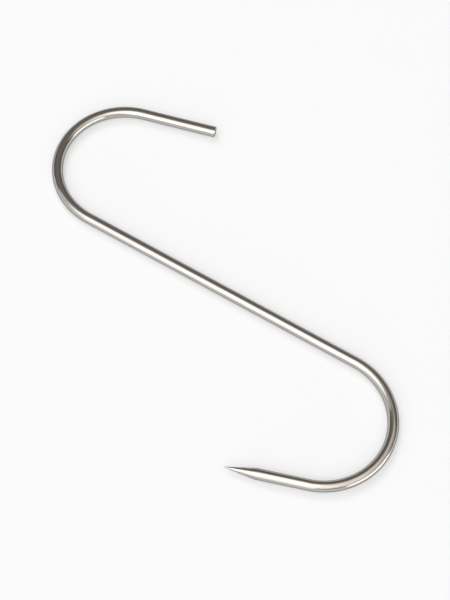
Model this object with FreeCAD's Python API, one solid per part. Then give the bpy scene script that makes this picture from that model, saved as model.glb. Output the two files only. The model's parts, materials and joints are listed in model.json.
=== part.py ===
"""Smoking hook: one length of round stainless wire, bent flat into an S.

The upper end is cut off square and hangs over a smoking rod. The lower end is ground to a point
and carries the food. The hook has no other piece, so it is one solid in one node.

Frame, in millimetres: the hook lies flat on z = 0, with its shank along X. The rod bend is at the
-X end and opens towards +X on the +Y side. The point bend is at the +X end and opens towards -X on
the -Y side. The origin is at the middle of the hook's box, on the surface that it lies on.
"""

import FreeCAD, Part
import math
import os

from FreeCAD import Vector

# Wire
WIRE_DIAMETER = 4.0

# Shank: the straight run between the two bends
SHANK_LENGTH = 111.0

# Rod bend and its tail, which ends in a square cut
ROD_BEND_INSIDE_RADIUS = 23.0
ROD_BEND_ANGLE = 164.5
ROD_TAIL_LENGTH = 28.0
CUT_EDGE_BREAK = 0.2

# Point bend and its tail, which is measured to the very tip
POINT_BEND_INSIDE_RADIUS = 23.0
POINT_BEND_ANGLE = 161.5
POINT_TAIL_LENGTH = 29.0

# Ground point: a cone from the full wire down to a small round nose
POINT_LENGTH = 11.0
NOSE_RADIUS = 0.2

# Worked out from the sizes above
WIRE_RADIUS = WIRE_DIAMETER / 2
ROD_BEND_RADIUS = ROD_BEND_INSIDE_RADIUS + WIRE_RADIUS
POINT_BEND_RADIUS = POINT_BEND_INSIDE_RADIUS + WIRE_RADIUS

UP = Vector(0, 0, 1)


def along(direction_deg):
    """Unit vector in the plane of the hook, direction_deg from +X towards +Y."""
    angle = math.radians(direction_deg)
    return Vector(math.cos(angle), math.sin(angle), 0)


def wire_face(centre, direction):
    """The wire's round section at centre, square to direction."""
    return Part.Face(Part.Wire(Part.Edge(Part.Circle(centre, direction, WIRE_RADIUS))))


def straight(start, direction, length):
    """A straight run of wire, and the point where it ends."""
    return wire_face(start, direction).extrude(direction * length), start + direction * length


def bend(start, direction_deg, radius, angle_deg, turn):
    """A bend of the wire, turned left (turn = 1) or right (turn = -1).

    Returns its solid, the point where it ends and the direction there.
    """
    centre = start + along(direction_deg + 90 * turn) * radius
    solid = wire_face(start, along(direction_deg)).revolve(centre, UP * turn, angle_deg)
    end_deg = direction_deg + angle_deg * turn
    return solid, centre - along(end_deg + 90 * turn) * radius, end_deg


def turned(profile, start, direction):
    """The solid that a half profile makes when it is turned about the wire's own line.

    The profile's X runs along the wire from start, and its Y is the distance from the line.
    """
    solid = Part.Face(profile).revolve(Vector(0, 0, 0), Vector(1, 0, 0), 360)
    solid.Placement = FreeCAD.Placement(start, FreeCAD.Rotation(Vector(1, 0, 0), direction))
    return solid


def cut_end(start, direction):
    """The last bit of the rod tail: full wire, with the sharp edge of the cut broken."""
    corners = [
        Vector(0, 0, 0),
        Vector(0, WIRE_RADIUS, 0),
        Vector(CUT_EDGE_BREAK, WIRE_RADIUS - CUT_EDGE_BREAK, 0),
        Vector(CUT_EDGE_BREAK, 0, 0),
        Vector(0, 0, 0),
    ]
    return turned(Part.makePolygon(corners), start, direction)


def ground_point(start, direction):
    """The point: a straight cone that runs tangent into a small ball nose."""
    shoulder = Vector(0, WIRE_RADIUS, 0)
    nose_centre = Vector(POINT_LENGTH - NOSE_RADIUS, 0, 0)
    to_nose = nose_centre - shoulder
    down_to_centre = math.atan2(-to_nose.y, to_nose.x)
    up_to_tangent = math.asin(NOSE_RADIUS / to_nose.Length)
    nose_start_deg = 90 - math.degrees(down_to_centre - up_to_tangent)
    nose_start, nose_middle, tip = (
        nose_centre + along(angle) * NOSE_RADIUS for angle in (nose_start_deg, nose_start_deg / 2, 0))
    profile = Part.Wire([
        Part.LineSegment(Vector(0, 0, 0), shoulder).toShape(),
        Part.LineSegment(shoulder, nose_start).toShape(),
        Part.Arc(nose_start, nose_middle, tip).toShape(),
        Part.LineSegment(tip, Vector(0, 0, 0)).toShape(),
    ])
    return turned(profile, start, direction)


def smoking_hook():
    """The whole hook, as runs and bends that leave the shank both ways."""
    shank_start = along(180) * (SHANK_LENGTH / 2)
    shank, shank_end = straight(shank_start, along(0), SHANK_LENGTH)

    rod_bend, rod_bend_end, rod_deg = bend(
        shank_start, 180, ROD_BEND_RADIUS, ROD_BEND_ANGLE, -1)
    rod_tail, rod_tail_end = straight(rod_bend_end, along(rod_deg), ROD_TAIL_LENGTH - CUT_EDGE_BREAK)
    rod_end = cut_end(rod_tail_end, along(rod_deg))

    point_bend, point_bend_end, point_deg = bend(
        shank_end, 0, POINT_BEND_RADIUS, POINT_BEND_ANGLE, -1)
    point_tail, point_tail_end = straight(
        point_bend_end, along(point_deg), POINT_TAIL_LENGTH - POINT_LENGTH)
    point = ground_point(point_tail_end, along(point_deg))

    pieces = [rod_bend, rod_tail, rod_end, point_bend, point_tail, point]
    return shank.multiFuse(pieces).removeSplitter()


def set_down(shape):
    """Moves the shape so that its box is centred over the origin and stands on z = 0."""
    box = shape.optimalBoundingBox(False, False)
    shape.translate(Vector(-box.Center.x, -box.Center.y, -box.ZMin))
    return shape


os.makedirs("parts", exist_ok=True)
hook = set_down(smoking_hook())
hook.exportStep("parts/hook_wire.step")
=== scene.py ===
# %% [markdown]
# # A smoking hook
#
# The object is one piece of round stainless wire, 4 mm thick and bent flat into an S. The upper
# bend hangs over a rod in a smoker, and the ground point below carries the fish or the meat.
#
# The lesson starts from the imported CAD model, which fixes the size and the place of everything.
# It then draws the wire again as a finer mesh, gives it the finish of drawn wire, and sets up a
# small studio round it.

# %% Load the frame
import json
import math

import bpy
import numpy as np
from mathutils import Matrix, Vector


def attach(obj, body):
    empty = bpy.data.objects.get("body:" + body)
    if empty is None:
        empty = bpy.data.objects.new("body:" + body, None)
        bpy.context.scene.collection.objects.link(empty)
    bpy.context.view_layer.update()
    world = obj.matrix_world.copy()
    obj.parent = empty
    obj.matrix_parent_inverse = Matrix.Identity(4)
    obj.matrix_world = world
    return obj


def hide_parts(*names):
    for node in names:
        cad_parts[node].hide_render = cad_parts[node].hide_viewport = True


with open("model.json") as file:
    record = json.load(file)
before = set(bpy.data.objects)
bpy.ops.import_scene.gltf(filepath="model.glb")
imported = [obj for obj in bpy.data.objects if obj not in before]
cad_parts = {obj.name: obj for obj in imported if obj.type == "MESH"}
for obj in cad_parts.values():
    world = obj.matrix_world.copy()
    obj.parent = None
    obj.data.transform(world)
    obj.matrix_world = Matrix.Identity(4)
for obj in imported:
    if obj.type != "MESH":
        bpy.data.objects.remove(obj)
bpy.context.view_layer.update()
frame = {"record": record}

# %% [markdown]
# ## Read the sizes of the wire
#
# The record that comes with the CAD model names four places on the hook: the inside of each bend,
# and the two straight tails. They say how thick the wire is, how tight it is bent, which way the
# tails point and how long they are. Only the sizes of the two ends are written here. The skin that
# is drawn below is a hair thinner than the wire, so that it stays inside the box of the CAD model.

# %% Sizes of the wire
MM = 0.001
EDGE_BREAK = 0.2 * MM
POINT_LENGTH = 11.0 * MM
NOSE_RADIUS = 0.2 * MM
HAIR = 0.004 * MM

mounts = {mount["name"]: mount for mount in frame["record"]["mounts"]}
wire_radius = mounts["cut_tail"]["dims"]["r_mm"] * MM
skin_radius = wire_radius - HAIR


def bend_at(saddle):
    """Centre and middle-line radius of the bend whose inside is at this mount."""
    inside = mounts[saddle]["dims"]["r_mm"] * MM
    centre = Vector(mounts[saddle]["pos_m"]) + Vector(mounts[saddle]["axis"]) * inside
    return centre, inside + wire_radius


def tail_at(pin):
    """Direction of a tail, and the two ends of its straight, full-thickness length."""
    middle = Vector(mounts[pin]["pos_m"])
    direction = Vector(mounts[pin]["axis"])
    half = direction * (mounts[pin]["dims"]["length_mm"] * MM / 2)
    return direction, middle - half, middle + half


rod_centre, rod_radius = bend_at("rod_bend_saddle")
point_centre, point_radius = bend_at("point_bend_saddle")
rod_direction, rod_tail_start, rod_tail_end = tail_at("cut_tail")
point_direction, point_tail_start, point_tail_end = tail_at("point_tail")
shank_length = point_centre.x - rod_centre.x
print(f"wire {2 * wire_radius / MM:.1f} mm, shank {shank_length / MM:.1f} mm,",
      f"bend radii {rod_radius / MM:.1f} and {point_radius / MM:.1f} mm")

# %% [markdown]
# ## List the stretches of the wire
#
# On the bench, the wire is cut to length, and each bend is made by pulling the wire round a peg.
# So the whole hook is a list of five stretches, each straight or an arc. The list starts at the
# cut end. A turn is how far the wire's heading swings on that stretch, left or right.

# %% Stretches from the cut end to the point
cut_end = rod_tail_end + rod_direction * EDGE_BREAK
start_heading = math.atan2(-rod_direction.y, -rod_direction.x) % math.tau
rod_turn = math.tau - start_heading
point_turn = math.atan2(point_direction.y, point_direction.x)

stretches = [
    ("rod tail", (cut_end - rod_tail_start).length, 0.0),
    ("rod bend", rod_radius * rod_turn, rod_turn),
    ("shank", shank_length, 0.0),
    ("point bend", point_radius * abs(point_turn), point_turn),
    ("point tail", (point_tail_end - point_tail_start).length + POINT_LENGTH, 0.0),
]
wire_length = sum(length for _, length, _ in stretches)
for name, length, turn in stretches:
    print(f"{name}: {length / MM:.1f} mm, {math.degrees(turn):.1f} degrees")

# %% [markdown]
# ## Walk along the wire
#
# A curve with a round bevel would make a bent wire with one click. Here a short walk along the
# middle line does it. The places are then exact, and each ring of the mesh knows how far along the
# wire it lies. The finish needs that, because the marks of the drawing die were on the wire before
# it was bent.

# %% The middle line
def forward(place, heading, length, turn):
    """Where a straight or curved step ends, and the heading there."""
    if turn == 0:
        return place + Vector((math.cos(heading), math.sin(heading), 0)) * length, heading
    radius = length / turn
    after = heading + turn
    sideways = math.sin(after) - math.sin(heading)
    onwards = math.cos(heading) - math.cos(after)
    return place + Vector((sideways, onwards, 0)) * radius, after


def middle_line(distance):
    """The place and heading of the wire's middle at a distance from the cut end."""
    place, heading = cut_end, start_heading
    for _, length, turn in stretches:
        share = min(distance, length) / length
        place, heading = forward(place, heading, length * share, turn * share)
        distance -= length * share
        if share < 1:
            break
    return place, heading


tip_middle, _ = middle_line(wire_length)
print("tip at, mm:", [round(c / MM, 2) for c in tip_middle])

# %% [markdown]
# ## The two ends
#
# The upper end is cropped square and its edge is broken with a file. The lower end is held against
# a grinding belt and turned, which gives a straight cone with a crisp shoulder and a tip that is
# just blunt enough not to fold over. Both are a list of pairs: how far along the wire, and how
# thick it is there. A few pairs close together keep an edge crisp when the mesh is shaded smooth.

# %% The outline of the wire
RING_STEP = 0.32 * MM
CONE_STEP = 0.24 * MM
FIRST_CONE_STEP = 0.3 * MM
CRISP = 0.04 * MM
FACE_RINGS = 8
NOSE_RINGS = 6
BREAK_SHARES = (0.12, 0.5, 0.88, 1.0)

cone_start = wire_length - POINT_LENGTH
nose_distance = POINT_LENGTH - NOSE_RADIUS
cone_slope = math.atan2(skin_radius, nose_distance) - math.asin(
    NOSE_RADIUS / math.hypot(nose_distance, skin_radius))


def cut_face_outline():
    """From the middle of the cut face to full thickness, over the broken edge."""
    flat = skin_radius - EDGE_BREAK
    pairs = [(0.0, radius) for radius in [*np.linspace(0, flat - CRISP, FACE_RINGS), flat]]
    pairs += [(EDGE_BREAK * share, flat + EDGE_BREAK * share) for share in BREAK_SHARES]
    return [*pairs, (EDGE_BREAK + CRISP, skin_radius)]


def full_outline():
    """The full thickness, up to the shoulder of the point."""
    count = round((cone_start - EDGE_BREAK) / RING_STEP)
    places = np.linspace(EDGE_BREAK, cone_start, count + 1)[1:-1]
    return [(place, skin_radius) for place in [*places, cone_start - CRISP]]


def point_outline():
    """The ground cone and its small ball nose."""
    nose_start = nose_distance + NOSE_RADIUS * math.sin(cone_slope)
    cone = [0.0, CRISP, *np.arange(FIRST_CONE_STEP, nose_start, CONE_STEP)]
    pairs = [(cone_start + x, skin_radius - x * math.tan(cone_slope)) for x in cone]
    for angle in np.linspace(math.pi / 2 - cone_slope, 0, NOSE_RINGS):
        beyond = nose_distance + NOSE_RADIUS * math.cos(angle)
        pairs.append((cone_start + beyond, NOSE_RADIUS * math.sin(angle)))
    return pairs


outline = np.array(cut_face_outline() + full_outline() + point_outline())
print(len(outline), "pairs, and the cone slopes by", round(math.degrees(cone_slope), 2), "degrees")

# %% [markdown]
# ## Sweep the outline into rings
#
# Each pair becomes a ring of points square to the middle line. Where the point would be if the wire
# were still straight is kept beside it, under the name `straightened`. The two ends close on a single
# point each, in the middle of the cut face and at the very tip.

# %% Rings of points
AROUND = 72

turns = np.radians(np.arange(AROUND) * 360 / AROUND)
ring_pairs = outline[1:-1]
points = []
straightened = []
for along, radius in ring_pairs:
    place, heading = middle_line(along)
    left = Vector((-math.sin(heading), math.cos(heading), 0))
    for turn in turns:
        aside, above = radius * math.cos(turn), radius * math.sin(turn)
        points.append(place + left * aside + Vector((0, 0, above)))
        straightened.append((along, aside, above))

face_middle = len(points)
tip = face_middle + 1
points += [cut_end, tip_middle]
straightened += [(0.0, 0.0, 0.0), (wire_length, 0.0, 0.0)]
print(len(ring_pairs), "rings of", AROUND, "points")

# %% [markdown]
# ## Join the rings with faces
#
# Neighbouring rings are joined by four-sided faces, and the two end points by a fan of triangles.
# Each face also gets the number of its finish: drawn wire, ground point or cropped face. All faces
# wind the same way, so that they look outwards.

# %% Faces and finishes
WIRE, POINT, FACE = 0, 1, 2


def finish_between(ring):
    """The finish of the faces between this ring and the next."""
    if ring_pairs[ring + 1, 0] == 0:
        return FACE
    return POINT if ring_pairs[ring, 0] >= cone_start else WIRE


faces = []
finishes = []
last = len(ring_pairs) - 1
for k in range(AROUND):
    after = (k + 1) % AROUND
    faces += [(face_middle, after, k), (tip, last * AROUND + k, last * AROUND + after)]
    finishes += [FACE, POINT]
    for ring in range(last):
        start, end = ring * AROUND, (ring + 1) * AROUND
        faces.append((start + k, start + after, end + after, end + k))
        finishes.append(finish_between(ring))

mesh = bpy.data.meshes.new("hook")
mesh.from_pydata(points, [], faces)
mesh.polygons.foreach_set("material_index", finishes)
mesh.polygons.foreach_set("use_smooth", [True] * len(faces))
kept = mesh.attributes.new("straightened", "FLOAT_VECTOR", "POINT")
kept.data.foreach_set("vector", np.array(straightened).ravel())
hook = bpy.data.objects.new("hook", mesh)
bpy.context.scene.collection.objects.link(hook)
print(len(points), "points and", len(faces), "faces")

# %% [markdown]
# ## Find each corner on the skin
#
# A UV map says where each corner of each face lies on a flat picture. The skin of the wire is 25
# times as long as it is wide. As one strip it would use a twentieth of a square picture, so it is
# cut across into five strips. The skin is also slit along one side, and a face that touches the
# slit has to count on past one whole turn, or its corners would lie at both edges of the strip.

# %% Corners along and round the wire
STRIPS = 5

flat_place = np.array(straightened)
corner = np.zeros(len(mesh.loops), int)
mesh.loops.foreach_get("vertex_index", corner)
face_start = np.zeros(len(faces), int)
mesh.polygons.foreach_get("loop_start", face_start)
owner = np.repeat(np.arange(len(faces)), [len(face) for face in faces])

corner_along = flat_place[corner, 0]
first_along = np.minimum.reduceat(corner_along, face_start)[owner]
strip_length = wire_length / STRIPS
strip = np.minimum(first_along // strip_length, STRIPS - 1)

corner_turn = np.arctan2(flat_place[corner, 2], flat_place[corner, 1]) / math.tau % 1
least = np.minimum.reduceat(corner_turn, face_start)[owner]
most = np.maximum.reduceat(corner_turn, face_start)[owner]
over_slit = (most - least > 0.5) & (corner_turn < 0.5)
corner_turn = np.where(over_slit, corner_turn + 1, corner_turn)
print(len(corner), "corners,", over_slit.sum(), "of them moved past the slit")

# %% [markdown]
# ## Lay the strips side by side
#
# The strips stand side by side with a small margin, and the cut face gets a small disc of its own
# in the corner above them. A baked picture of the finish then wastes little room.

# %% The UV map
STRIP_TOP = 0.92
MARGIN = 0.01

u = (strip + MARGIN + (1 - 2 * MARGIN) * corner_turn) / STRIPS
v = MARGIN + (STRIP_TOP - MARGIN) * (corner_along - strip * strip_length) / strip_length
on_face = np.array(finishes)[owner] == FACE
disc = 0.5 * (1 - STRIP_TOP) - MARGIN
disc_middle = 1 - disc - MARGIN
u = np.where(on_face, disc_middle + disc * flat_place[corner, 1] / wire_radius, u)
v = np.where(on_face, disc_middle + disc * flat_place[corner, 2] / wire_radius, v)
skin = mesh.uv_layers.new(name="OFBake")
skin.uv.foreach_set("vector", np.stack([u, v], 1).astype(np.float32).ravel())
print("map spans", u.min().round(3), u.max().round(3), v.min().round(3), v.max().round(3))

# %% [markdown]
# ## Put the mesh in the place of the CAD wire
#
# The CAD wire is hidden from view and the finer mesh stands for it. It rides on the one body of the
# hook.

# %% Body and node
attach(hook, "root")
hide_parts("hook_wire")
print("hook spans, mm:", [round(side / MM, 2) for side in hook.dimensions])

# %% [markdown]
# ## Tools for building materials
#
# The finish is made of nodes. A few small functions keep that short. One adds a node and sets or
# links its inputs, and the two below it add the kinds that are used most.

# %% Node tools
def fill(tree, made, inputs):
    """Sets each input to a value, or links it to another node's output."""
    for socket, value in inputs.items():
        if isinstance(value, bpy.types.NodeSocket):
            tree.links.new(value, made.inputs[socket])
        else:
            made.inputs[socket].default_value = value
    return made


def node(tree, kind, inputs, **settings):
    """Adds a shader node with these settings and inputs."""
    made = tree.nodes.new("ShaderNode" + kind)
    for setting, value in settings.items():
        setattr(made, setting, value)
    return fill(tree, made, inputs)


def math_node(tree, operation, *values):
    return node(tree, "Math", dict(enumerate(values)), operation=operation).outputs[0]


def divide_place(tree, place, size):
    return node(tree, "VectorMath", {0: place, 1: size}, operation="DIVIDE").outputs[0]


print("node tools for Blender", bpy.app.version_string)

# %% [markdown]
# ## Tools for node groups
#
# A node group is an effect that is built once and used wherever it is needed. Groups that several
# materials use keep them alike, as the same steel is on every part of a real hook. One function
# makes a group with named sockets, one ends it, and one places it in a material.

# %% Group tools
def group(name, inputs, outputs):
    """A new node group, and the sockets by which its inputs come in."""
    tree = bpy.data.node_groups.new(name, "ShaderNodeTree")
    for socket, (kind, value) in inputs.items():
        made = tree.interface.new_socket(socket, in_out="INPUT", socket_type="NodeSocket" + kind)
        made.default_value = value
    for socket, kind in outputs.items():
        tree.interface.new_socket(socket, in_out="OUTPUT", socket_type="NodeSocket" + kind)
    return tree, tree.nodes.new("NodeGroupInput").outputs


def give_back(tree, results):
    """Links the results to the group's outputs, and says how large the group is."""
    fill(tree, tree.nodes.new("NodeGroupOutput"), results)
    print(tree.name, "gives", list(results), "from", len(tree.nodes), "nodes")
    return tree


def use(tree, used, inputs):
    """Places a group in a tree and gives its outputs."""
    made = tree.nodes.new("ShaderNodeGroup")
    made.node_tree = used
    return fill(tree, made, inputs).outputs


PLACE = ("Vector", (0, 0, 0))
print("socket kinds of the groups: Vector, Float and Color")

# %% [markdown]
# ## Marks that a tool leaves
#
# A drawing die, a grinding belt and a cropping blade all leave fine parallel lines. The lines
# differ only in their direction and size. Noise stretched along one axis gives them: the size
# says how long the marks are along the wire and in the two directions across it. A second, wider
# layer stops the lines looking like the teeth of a comb.

# %% Group: tool lines
WIDE_SCALE = 0.23
WIDE_STRENGTH = 1.6
MEAN_LINES = (1 + WIDE_STRENGTH) / 2


def make_tool_lines():
    tree, given = group(
        "tool_lines", {"Place": PLACE, "Size": ("Vector", (1, 1, 1))}, {"Height": "Float"})
    scaled = divide_place(tree, given["Place"], given["Size"])
    fine = node(tree, "TexNoise", {"Vector": scaled, "Scale": 1, "Detail": 2, "Roughness": 0.6})
    wide = node(tree, "TexNoise", {
        "Vector": scaled, "Scale": WIDE_SCALE, "Detail": 1, "Roughness": 0.5})
    both = math_node(tree, "MULTIPLY_ADD", wide.outputs[0], WIDE_STRENGTH, fine.outputs[0])
    return give_back(tree, {"Height": math_node(tree, "SUBTRACT", both, MEAN_LINES)})


tool_lines = make_tool_lines()

# %% [markdown]
# ## Handling
#
# A used hook is knocked against others in a drawer. That leaves short, thin scuffs at all angles.
# Each layer is noise stretched along a slanted line, of which only the peaks are kept.

# %% Group: scuffs
SCUFF_SIZE = (3.0 * MM, 0.07 * MM, 0.07 * MM)
SCUFF_SLANTS = ((0.3, 0.5, 0.4), (0.2, -0.4, -0.7), (-0.5, 0.9, 1.3))
SCUFF_PEAKS = {"From Min": 0.71, "From Max": 0.80}


def make_scuffs():
    tree, given = group("scuffs", {"Place": PLACE}, {"Mask": "Float"})
    mask = 0.0
    for slant in SCUFF_SLANTS:
        turned = node(tree, "VectorRotate", {"Vector": given["Place"], "Rotation": slant},
                      rotation_type="EULER_XYZ").outputs[0]
        scaled = divide_place(tree, turned, SCUFF_SIZE)
        noise = node(tree, "TexNoise", {"Vector": scaled, "Scale": 1, "Detail": 0}).outputs[0]
        peaks = node(tree, "MapRange", {"Value": noise, **SCUFF_PEAKS})
        mask = math_node(tree, "MAXIMUM", mask, peaks.outputs[0])
    return give_back(tree, {"Mask": mask})


scuffs = make_scuffs()

# %% [markdown]
# ## One steel, worked in three ways
#
# Drawn wire is never one even grey. Drawing soap, smoke and washing leave soft clouds, a little
# warmer and duller than the rest, and longer than they are wide. This group mixes those clouds,
# the tool lines and the scuffs into a colour, a roughness and a height. Each material then only
# says how its own tool worked.

# %% Group: worked steel
WARM_STEEL = (0.475, 0.445, 0.41, 1)
CLEAR_STEEL = (0.505, 0.492, 0.475, 1)
CLOUD_SIZE = (9 * MM, 1.3 * MM, 1.3 * MM)
CLOUD_CONTRAST = {"From Min": 0.3, "From Max": 0.7}
SCUFF_ROUGHNESS = 0.12
SCUFF_DEPTH = 0.0025 * MM


def make_worked_steel():
    tree, given = group(
        "worked_steel",
        {"Place": PLACE, "Line size": ("Vector", (1, 1, 1)), "Line height": ("Float", 0),
         "Evenness": ("Float", 0.2), "Spread": ("Float", 0.05)},
        {"Color": "Color", "Roughness": "Float", "Height": "Float"})
    sizes = {"Place": given["Place"], "Size": given["Line size"]}
    lines = use(tree, tool_lines, sizes)["Height"]
    scuffed = use(tree, scuffs, {"Place": given["Place"]})["Mask"]

    stretched = divide_place(tree, given["Place"], CLOUD_SIZE)
    noise = node(tree, "TexNoise", {"Vector": stretched, "Scale": 1, "Detail": 3}).outputs[0]
    cloud = node(tree, "MapRange", {"Value": noise, **CLOUD_CONTRAST}).outputs[0]
    tint = node(tree, "ValToRGB", {"Fac": cloud})
    tint.color_ramp.elements[0].color = WARM_STEEL
    tint.color_ramp.elements[1].color = CLEAR_STEEL

    dull = math_node(tree, "SUBTRACT", 0.5, cloud)
    dull = math_node(tree, "ADD", dull, lines)
    rough = math_node(tree, "MULTIPLY_ADD", dull, given["Spread"], given["Evenness"])
    rough = math_node(tree, "MULTIPLY_ADD", scuffed, SCUFF_ROUGHNESS, rough)
    height = math_node(tree, "MULTIPLY", lines, given["Line height"])
    height = math_node(tree, "MULTIPLY_ADD", scuffed, -SCUFF_DEPTH, height)
    return give_back(tree, {"Color": tint.outputs[0], "Roughness": rough, "Height": height})


worked_steel = make_worked_steel()

# %% [markdown]
# ## The three materials
#
# The wire has die lines that run along it. The cone of the point was turned against a belt, so its
# lines run round it. The cut face was sheared, so its lines run straight across. On a surface full
# of parallel grooves a highlight is smeared across them. Anisotropic does that, and its tangent
# points round the wire, which is the U direction of the map.

# %% Materials
EDGE_SHEEN = (0.15, 0.15, 0.15, 1)


def steel(name, line_size, line_height, evenness, spread, smear):
    """A steel whose tool lines have this size and height, with its roughness and highlight."""
    material = bpy.data.materials.new(name)
    material.use_nodes = True
    tree = material.node_tree
    place = node(tree, "Attribute", {}, attribute_name="straightened").outputs["Vector"]
    finish = use(tree, worked_steel, {
        "Place": place, "Line size": line_size, "Line height": line_height,
        "Evenness": evenness, "Spread": spread})
    bump = node(tree, "Bump", {"Distance": 1, "Height": finish["Height"]})
    round_wire = node(tree, "Tangent", {}, direction_type="UV_MAP", uv_map="OFBake")
    fill(tree, tree.nodes["Principled BSDF"], {
        "Base Color": finish["Color"], "Roughness": finish["Roughness"], "Metallic": 1,
        "Normal": bump.outputs[0], "Anisotropic": smear, "Tangent": round_wire.outputs[0],
        "Specular Tint": EDGE_SHEEN})
    mesh.materials.append(material)


steel("drawn_wire", (40 * MM, 0.12 * MM, 0.12 * MM), line_height=0.0022 * MM,
      evenness=0.115, spread=0.04, smear=0.25)
steel("ground_point", (0.09 * MM, 4 * MM, 4 * MM), line_height=0.0025 * MM,
      evenness=0.15, spread=0.06, smear=0.0)
steel("cropped_face", (1 * MM, 0.10 * MM, 2.5 * MM), line_height=0.008 * MM,
      evenness=0.36, spread=0.10, smear=0.0)
print("materials:", [material.name for material in mesh.materials])

# %% [markdown]
# ## A sheet of white paper
#
# The hook lies on a wide sheet of white paper. A studio lights such a sheet from below as well, so
# that the shadow on it stays pale. Here the paper gets a plain grey colour, which takes the shadow,
# and a glow, which lifts all of it to white. Light Path gives the glow to the camera and to
# reflections only. The steel then mirrors the same white sheet, and the glow lights nothing.

# %% The floor
FLOOR_SIDE = 8.0
PAPER_COLOUR = (0.415, 0.424, 0.434, 1)
PAPER_GLOW = 0.39


def white_paper():
    material = bpy.data.materials.new("white_paper")
    material.use_nodes = True
    tree = material.node_tree
    rays = node(tree, "LightPath", {}).outputs
    seen = math_node(tree, "MAXIMUM", rays["Is Camera Ray"], rays["Is Glossy Ray"])
    seen = math_node(tree, "MAXIMUM", seen, rays["Is Transmission Ray"])
    fill(tree, tree.nodes["Principled BSDF"], {
        "Base Color": PAPER_COLOUR, "Roughness": 1, "Specular IOR Level": 0,
        "Emission Color": (1, 1, 1, 1),
        "Emission Strength": math_node(tree, "MULTIPLY", seen, PAPER_GLOW)})
    return material


half_side = FLOOR_SIDE / 2
corners = [(x * half_side, y * half_side, 0) for x, y in ((-1, -1), (1, -1), (1, 1), (-1, 1))]
floor_mesh = bpy.data.meshes.new("floor")
floor_mesh.from_pydata(corners, [], [(0, 1, 2, 3)])
floor_mesh.materials.append(white_paper())
floor = bpy.data.objects.new("floor", floor_mesh)
bpy.context.scene.collection.objects.link(floor)
print("floor,", FLOOR_SIDE, "m across, for a hook", round(hook.dimensions.x, 3), "m long")

# %% [markdown]
# ## Angles as the camera has them
#
# A flat thing is shown best from well above, but not from straight above, where a round wire would
# look like a ribbon. The lamps are placed by angles from the camera, so that the light keeps its
# place on the wire when the camera is turned. One function serves them both.

# %% Directions round the hook
VIEW_AZIMUTH = 25.84
VIEW_ELEVATION = 62.83


def from_camera(side, height):
    """Unit vector to the side, 0 ahead of the camera and 90 to its right, and upwards by height."""
    bearing = math.radians(side - VIEW_AZIMUTH)
    rise = math.radians(height)
    level = Vector((math.sin(bearing), math.cos(bearing), 0)) * math.cos(rise)
    return level + Vector((0, 0, math.sin(rise)))


to_camera = from_camera(180, VIEW_ELEVATION)
print("towards the camera:", [round(part, 3) for part in to_camera])

# %% [markdown]
# ## The camera
#
# The camera stands about 60 cm away with a long lens, so both bends look equally large. It looks at
# a place near the middle of the wire, and it is rolled by a few degrees, so that the shank runs down
# the picture at a lively slant.

# %% The camera
VIEW_ROLL = 5.12
VIEW_DISTANCE = 592.4 * MM
AIM = Vector((3.87 * MM, -2.99 * MM, 2.0 * MM))
LENS_LENGTH = 99.46
FILM_WIDTH = 36

lens = bpy.data.cameras.new("camera")
lens.lens = LENS_LENGTH
lens.sensor_width = FILM_WIDTH
lens.clip_start = 10 * MM
camera = bpy.data.objects.new("camera", lens)
bpy.context.scene.collection.objects.link(camera)
camera.location = AIM + to_camera * VIEW_DISTANCE
aimed = to_camera.to_track_quat("Z", "Y").to_matrix()
rolled = Matrix.Rotation(math.radians(VIEW_ROLL), 3, "Z")
camera.rotation_euler = (aimed @ rolled).to_euler()
bpy.context.scene.camera = camera
print("camera at, mm:", [round(c / MM) for c in camera.location])

# %% [markdown]
# ## Panels of light
#
# Bright metal has no shade of its own: what it shows is the room. A wire mirrors a whole half of the
# room across its width, so each panel becomes a long white line, and the dark between panels becomes
# a dark line. That is what makes it look round. In a studio the lamp that casts the shadow and the
# white cloth that the metal mirrors are different things too. So a panel here either shows in the
# steel or lights the paper, and each can be set without the other. Brightness is the panel's own
# brightness, where 1 is as bright as white paper in full light.

# %% A panel of light
WHITE = (1.0, 1.0, 1.0)
COOL = (0.98, 0.99, 1.0)
CREAM = (1.0, 0.98, 0.95)
WARM = (1.0, 0.95, 0.91)


def light_panel(name, width, length, brightness, tint, mirrored):
    """A flat lamp that the steel mirrors, or else one that lights the paper and isn't mirrored."""
    lamp = bpy.data.lights.new(name, "AREA")
    lamp.shape = "RECTANGLE"
    lamp.size = width
    lamp.size_y = length
    lamp.energy = brightness * math.pi * width * length
    lamp.color = tint
    panel = bpy.data.objects.new(name, lamp)
    bpy.context.scene.collection.objects.link(panel)
    panel.visible_camera = False
    panel.visible_glossy = mirrored
    panel.visible_diffuse = not mirrored
    print(name, round(width, 2), "by", round(length, 2), "m")
    return panel


print("tints:", WHITE, COOL, CREAM, WARM)

# %% [markdown]
# ## Softboxes
#
# A softbox stands a long way off and faces the hook, so it can be described by four angles, as the
# hook sees it: how far to the side and how high its middle is, how wide it looks, and how tall.
# Such a far panel is mirrored alike by every part of the wire.

# %% A softbox
STUDIO_RADIUS = 7.0


def side_for(degrees):
    """Side of a panel that looks this wide from the hook."""
    return 2 * STUDIO_RADIUS * math.tan(math.radians(degrees / 2))


def softbox(name, side, height, across, upright, brightness, tint, mirrored):
    """A far panel that faces the hook. The angles are as seen from the hook."""
    panel = light_panel(name, side_for(across), side_for(upright), brightness, tint, mirrored)
    outwards = from_camera(side, height)
    panel.location = outwards * STUDIO_RADIUS
    panel.rotation_euler = outwards.to_track_quat("Z", "Y").to_euler()


print("a softbox that looks 50 degrees wide is", round(side_for(50), 2), "m across")

# %% [markdown]
# ## Light for the paper
#
# Four wide, soft lamps light the paper evenly from the front, the left, the right and above. The
# fifth is smaller and stronger and comes from behind, so it gives the hook its soft shadow.

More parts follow.
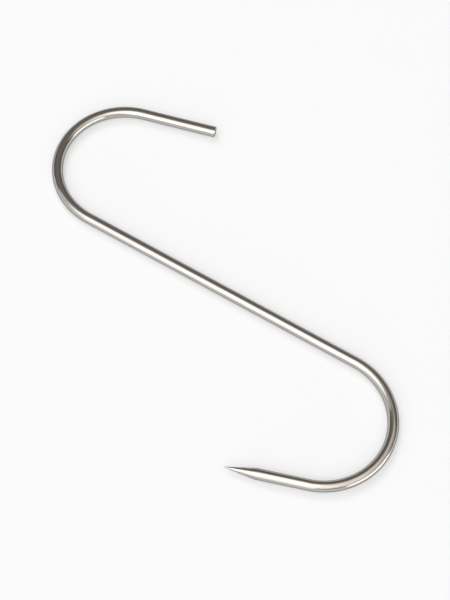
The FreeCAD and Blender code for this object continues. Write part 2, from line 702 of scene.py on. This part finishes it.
# %% Lamps for the paper
softbox("paper_light_front", -162.0, 35.0, 50.0, 55.0, 1.88, WHITE, mirrored=False)
softbox("paper_light_left", -98.0, 48.0, 50.0, 50.0, 1.35, WHITE, mirrored=False)
softbox("paper_light_right", 140.0, 46.0, 50.0, 52.0, 1.46, WARM, mirrored=False)
softbox("paper_light_top", 140.0, 85.0, 40.0, 40.0, 0.95, CREAM, mirrored=False)
softbox("shadow_light", -27.1, 46.6, 25.0, 25.0, 7.1, WHITE, mirrored=False)

# %% [markdown]
# ## Low softboxes for the steel
#
# These stand near the horizon. The bends mirror them as the short bright streaks near the outer and
# the inner edge. The gap between the front one and the right one is the darker piece beside a streak.

# %% Low softboxes
softbox("low_front_panel", -157.5, 16.8, 47.0, 12.0, 1.80, COOL, mirrored=True)
softbox("low_left_panel", -104.0, 16.5, 60.0, 11.0, 0.70, CREAM, mirrored=True)
softbox("low_right_panel", 118.5, 4.8, 52.0, 9.2, 4.1, WARM, mirrored=True)
softbox("low_corner_panel", 120.0, 16.8, 50.0, 11.5, 1.0, WARM, mirrored=True)

# %% [markdown]
# ## A roof of white cloth
#
# Small bright things are often shown under a white cloth that is hung just above them and lit from
# outside. The cloth is near, so each part of the wire mirrors another part of it, and the white line
# bends and tapers along the hook. With far lamps alone it would break off in steps. The cloth is
# brightest in front and to the left. It fades in steps to the right, and it ends just beyond the
# hook, which leaves the wire's far side dark. The camera looks in through it.

# %% A roof panel
ROOF_HEIGHT = 400 * MM


def roof_panel(name, left, right, near, far, brightness, tint):
    """A level panel over the hook. Its edges are in mm, to the right and away from the camera."""
    width, length = (right - left) * MM, (far - near) * MM
    panel = light_panel(name, width, length, brightness, tint, mirrored=True)
    rightwards, away = from_camera(90, 0), from_camera(0, 0)
    middle = rightwards * ((left + right) / 2 * MM) + away * ((near + far) / 2 * MM)
    panel.location = middle + Vector((0, 0, ROOF_HEIGHT))
    panel.rotation_euler = (0, 0, math.atan2(rightwards.y, rightwards.x))


print("roof", round(ROOF_HEIGHT / MM), "mm above the paper")

# %% [markdown]
# ## Hang the roof
#
# Each line is one panel: its left and right edge, its near and far edge, its brightness and its
# tint. A panel's edge is drawn on the wire as a soft step in the light, so the steps between
# neighbours are kept small, except at the far edge, which is the crisp edge of the white line.

# %% The roof
roof_panel("roof_front", -420, 80, -1000, -4, 2.02, COOL)
roof_panel("roof_back_edge", -420, 80, -4, 96, 0.48, COOL)
roof_panel("roof_left_front", -960, -420, -1000, -280, 1.60, COOL)
roof_panel("roof_left_middle", -960, -420, -280, -140, 1.20, COOL)
roof_panel("roof_left_back", -640, -420, -140, 112, 0.85, CREAM)
roof_panel("roof_left_end", -960, -640, -140, 112, 0.50, CREAM)
roof_panel("roof_right_front_1", 80, 200, -1000, -160, 1.60, CREAM)
roof_panel("roof_right_front_2", 200, 360, -1000, -160, 1.20, WARM)
roof_panel("roof_right_front_3", 360, 520, -1000, -160, 0.90, WARM)
roof_panel("roof_right_front_4", 520, 960, -1000, -160, 0.75, WARM)
roof_panel("roof_right_middle_1", 80, 280, -160, 0, 1.22, WARM)
roof_panel("roof_right_middle_2", 280, 520, -160, 20, 0.62, WARM)
roof_panel("roof_right_middle_3", 520, 960, -160, 20, 0.50, WARM)
roof_panel("roof_right_back_1", 80, 360, 0, 144, 0.70, WARM)
roof_panel("roof_right_back_2", 360, 960, 20, 160, 0.28, WARM)

# %% [markdown]
# ## The room
#
# Behind the softboxes lies the room itself. All round the paper runs a pale wall, about 11 degrees
# high as the hook sees it, so that a level view has a pale background too. The steel mirrors the
# wall as it mirrors the paper. Above it the room is dark, and grows lighter towards the ceiling.
# The world's Generated coordinate is the direction of a ray, and its Z is 0 at the horizon and 1
# overhead. The dark parts of the wire are this room, so its levels set how dark they are.

# %% The room
ROOM_LEVELS = (
    (0.185, (0.940, 0.940, 0.940)),
    (0.20, (0.045, 0.041, 0.038)),
    (0.22, (0.060, 0.055, 0.050)),
    (0.36, (0.160, 0.145, 0.133)),
    (0.60, (0.190, 0.174, 0.160)),
    (0.97, (0.290, 0.266, 0.246)))

world = bpy.data.worlds.new("studio")
bpy.context.scene.world = world
world.use_nodes = True
sky = world.node_tree
direction = node(sky, "TexCoord", {}).outputs["Generated"]
upward = node(sky, "SeparateXYZ", {"Vector": direction}).outputs["Z"]
shade = node(sky, "ValToRGB", {"Fac": upward})
for _ in ROOM_LEVELS[2:]:
    shade.color_ramp.elements.new(0.5)
for element, (place, level) in zip(shade.color_ramp.elements, ROOM_LEVELS):
    element.position = place
    element.color = (*level, 1)
fill(sky, sky.nodes["Background"], {"Color": shade.outputs[0]})
print("room from", ROOM_LEVELS[1][1], "above the wall to", ROOM_LEVELS[-1][1], "overhead")

bpy.context.scene.view_settings.view_transform = "Standard"
